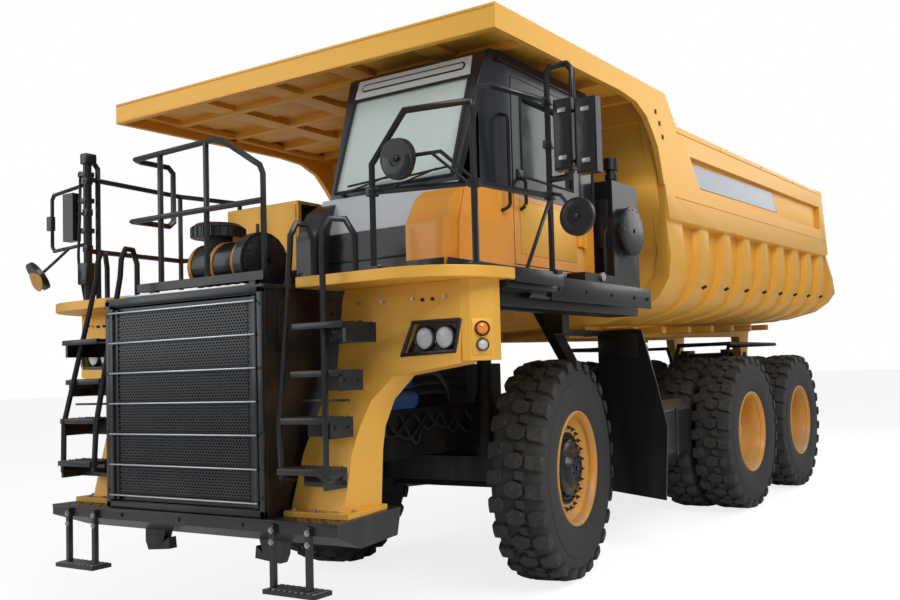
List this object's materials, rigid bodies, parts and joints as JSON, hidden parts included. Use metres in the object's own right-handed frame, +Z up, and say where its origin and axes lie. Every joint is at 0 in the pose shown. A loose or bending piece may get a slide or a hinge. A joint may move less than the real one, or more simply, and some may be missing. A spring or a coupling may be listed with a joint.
{
  "type": "mining dump truck",
  "caption": "Off-road mining dump truck with offset cab beside a railed deck, ribbed tipping body with a canopy over the cab, steered front wheels and twin-tyred tandem rear axles",
  "frame": {"origin": "centre of the truck's footprint box, on the ground the tyres stand on", "axes": "+Z up, -Y the way it drives, +X the truck's left, the cab side"},
  "size_m": [5, 9.9, 4.235],
  "materials": {
    "body_paint": "yellow-orange gloss paint, sun-bleached",
    "black_paint": "satin black paint",
    "frame_paint": "dull black chassis paint",
    "rim_paint": "gold-orange wheel paint, dusty",
    "tyre_rubber": "matt black rubber",
    "cab_glass": "tinted safety glass",
    "grey_paint": "satin grey",
    "chromed_rod": "hard-chromed rod",
    "seat_fabric": "dark woven cover",
    "interior_plastic": "dark textured plastic"
  },
  "bodies": {
    "truck": {"air_cleaner": "grey_paint", "cab_shell": "body_paint", "chassis_frame": "frame_paint", "control_cabinet": "body_paint", "dashboard": "interior_plastic", "deck": "body_paint", "engine_block": "frame_paint", "engine_cover": "black_paint", "fender_left": "body_paint", "fender_right": "body_paint", "front_axle": "frame_paint", "front_bumper": "black_paint", "front_rail": "black_paint", "fuel_tank": "black_paint", "grille": "black_paint", "hydraulic_tank": "black_paint", "ladder_left": "black_paint", "ladder_right": "black_paint", "left_rail": "black_paint", "middle_axle": "frame_paint", "mudflap_left": "black_paint", "mudflap_right": "black_paint", "radiator_housing": "black_paint", "rear_axle": "frame_paint", "rear_window": "cab_glass", "right_rail": "black_paint", "seat": "seat_fabric", "side_tank": "black_paint", "side_window": "cab_glass", "windshield": "cab_glass"},
    "left_knuckle": {"steering_knuckle_left": "frame_paint"},
    "right_knuckle": {"steering_knuckle_right": "frame_paint"},
    "track_rod": {"tie_rod": "frame_paint"},
    "front_left_wheel": {"front_left_tyre": "tyre_rubber", "front_left_rim": "rim_paint"},
    "front_right_wheel": {"front_right_tyre": "tyre_rubber", "front_right_rim": "rim_paint"},
    "middle_left_wheels": {"middle_left_outer_tyre": "tyre_rubber", "middle_left_inner_tyre": "tyre_rubber", "middle_left_rim": "rim_paint"},
    "middle_right_wheels": {"middle_right_outer_tyre": "tyre_rubber", "middle_right_inner_tyre": "tyre_rubber", "middle_right_rim": "rim_paint"},
    "rear_left_wheels": {"rear_left_outer_tyre": "tyre_rubber", "rear_left_inner_tyre": "tyre_rubber", "rear_left_rim": "rim_paint"},
    "rear_right_wheels": {"rear_right_outer_tyre": "tyre_rubber", "rear_right_inner_tyre": "tyre_rubber", "rear_right_rim": "rim_paint"},
    "tipping_body": {"dump_body": "body_paint"},
    "left_hoist_tube": {"hoist_barrel_left": "black_paint"},
    "left_hoist_ram": {"hoist_rod_left": "chromed_rod"},
    "right_hoist_tube": {"hoist_barrel_right": "black_paint"},
    "right_hoist_ram": {"hoist_rod_right": "chromed_rod"},
    "door": {"cab_door": "body_paint", "door_window": "cab_glass"},
    "handwheel": {"steering_wheel": "interior_plastic"}
  },
  "joints": [
    {"name": "steer_left", "type": "hinge", "parent": "truck", "child": "left_knuckle", "pos_m": [0.93, -2.15, 0.93], "axis": [0, 0, 1], "range_deg": [-43, 23]},
    {"name": "steer_right", "type": "hinge", "parent": "truck", "child": "right_knuckle", "pos_m": [-0.93, -2.15, 0.93], "axis": [0, 0, 1], "range_deg": [-43, 23]},
    {"name": "track_rod_slide", "type": "slide", "parent": "truck", "child": "track_rod", "axis": [1, 0, 0], "range_m": [-0.16, 0.3]},
    {"name": "front_left_spin", "type": "hinge", "parent": "left_knuckle", "child": "front_left_wheel", "pos_m": [1.18605, -2.10485, 0.93], "axis": [0.9848, 0.1736, 0], "continuous": true},
    {"name": "front_right_spin", "type": "hinge", "parent": "right_knuckle", "child": "front_right_wheel", "pos_m": [-1.18605, -2.19515, 0.93], "axis": [0.9848, 0.1736, 0], "continuous": true},
    {"name": "middle_left_spin", "type": "hinge", "parent": "truck", "child": "middle_left_wheels", "pos_m": [1.365, 1.9, 0.93], "axis": [1, 0, 0], "continuous": true},
    {"name": "middle_right_spin", "type": "hinge", "parent": "truck", "child": "middle_right_wheels", "pos_m": [-1.365, 1.9, 0.93], "axis": [1, 0, 0], "continuous": true},
    {"name": "rear_left_spin", "type": "hinge", "parent": "truck", "child": "rear_left_wheels", "pos_m": [1.365, 3.97, 0.93], "axis": [1, 0, 0], "continuous": true},
    {"name": "rear_right_spin", "type": "hinge", "parent": "truck", "child": "rear_right_wheels", "pos_m": [-1.365, 3.97, 0.93], "axis": [1, 0, 0], "continuous": true},
    {"name": "body_tip", "type": "hinge", "parent": "truck", "child": "tipping_body", "pos_m": [0, 4.45, 1.88], "axis": [-1, 0, 0], "range_deg": [0, 45]},
    {"name": "left_hoist_swing", "type": "hinge", "parent": "truck", "child": "left_hoist_tube", "pos_m": [0.15, -0.25, 1.14], "axis": [1, 0, 0], "range_deg": [0, 21]},
    {"name": "left_hoist_extend", "type": "slide", "parent": "left_hoist_tube", "child": "left_hoist_ram", "axis": [0, 0.9285, 0.3714], "range_m": [0, 1.72]},
    {"name": "right_hoist_swing", "type": "hinge", "parent": "truck", "child": "right_hoist_tube", "pos_m": [-0.15, -0.25, 1.14], "axis": [1, 0, 0], "range_deg": [0, 21]},
    {"name": "right_hoist_extend", "type": "slide", "parent": "right_hoist_tube", "child": "right_hoist_ram", "axis": [0, 0.9285, 0.3714], "range_m": [0, 1.72]},
    {"name": "door_swing", "type": "hinge", "parent": "truck", "child": "door", "pos_m": [1.782, -2.538, 2.52], "axis": [0, 0, 1], "range_deg": [0, 75]},
    {"name": "steering_wheel_turn", "type": "hinge", "parent": "truck", "child": "handwheel", "pos_m": [1.1, -3.59, 3.211], "axis": [0, 0.4512, 0.8924], "range_deg": [-520, 280]}
  ],
  "couplings": [
    {"joint": "steer_right", "follows": "steer_left", "ratio": 1},
    {"joint": "track_rod_slide", "follows": "steer_left", "m_per_rad": -0.394},
    {"joint": "steering_wheel_turn", "follows": "steer_left", "ratio": 12},
    {"joint": "left_hoist_swing", "follows": "body_tip", "ratio": 0.451},
    {"joint": "left_hoist_extend", "follows": "body_tip", "m_per_rad": 2.151},
    {"joint": "right_hoist_swing", "follows": "body_tip", "ratio": 0.451},
    {"joint": "right_hoist_extend", "follows": "body_tip", "m_per_rad": 2.151}
  ]
}
